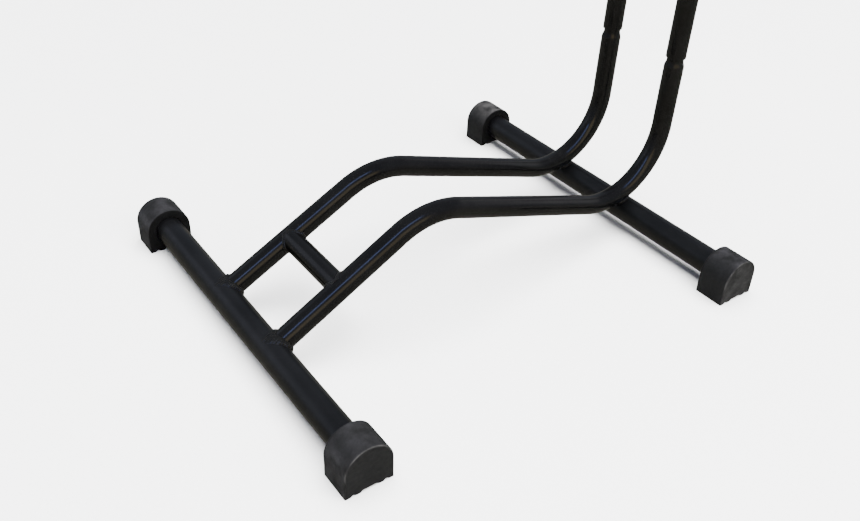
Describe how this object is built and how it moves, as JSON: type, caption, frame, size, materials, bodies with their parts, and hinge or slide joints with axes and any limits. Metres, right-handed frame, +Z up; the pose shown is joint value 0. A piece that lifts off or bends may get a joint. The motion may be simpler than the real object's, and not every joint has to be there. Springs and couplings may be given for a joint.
{
  "type": "bicycle floor stand",
  "caption": "Free-standing floor stand that grips a bicycle wheel between two bent tubular rails and a tall hoop, on cross tubes with rubber caps.",
  "frame": {"origin": "on the floor, under the middle of the stand's bounding box", "axes": "+X from the low front foot tube, where the wheel rolls in, to the hoop; +Y across to the left; +Z up"},
  "size_m": [0.4724, 0.3838, 0.675],
  "materials": {
    "foot_paint": "satin black powder coat",
    "rail_paint": "semi-gloss black powder coat",
    "weld_paint": "semi-gloss black powder coat over a rippled weld bead",
    "rubber": "matte moulded rubber, dusty"
  },
  "bodies": {
    "base": {"front_foot_tube": "foot_paint", "rear_foot_tube": "foot_paint", "front_left_foot_cap": "rubber", "front_right_foot_cap": "rubber", "rear_left_foot_cap": "rubber", "rear_right_foot_cap": "rubber", "left_rail": "rail_paint", "right_rail": "rail_paint", "crossbar": "rail_paint", "left_front_foot_weld": "weld_paint", "right_front_foot_weld": "weld_paint", "left_crossbar_weld": "weld_paint", "right_crossbar_weld": "weld_paint", "left_rear_foot_weld": "weld_paint", "right_rear_foot_weld": "weld_paint"},
    "hoop_assembly": {"hoop": "rail_paint"}
  },
  "joints": [
    {"name": "hoop_lift", "type": "slide", "parent": "base", "child": "hoop_assembly", "axis": [0.0171, 0, 0.9999], "range_m": [0, 0.035]}
  ]
}
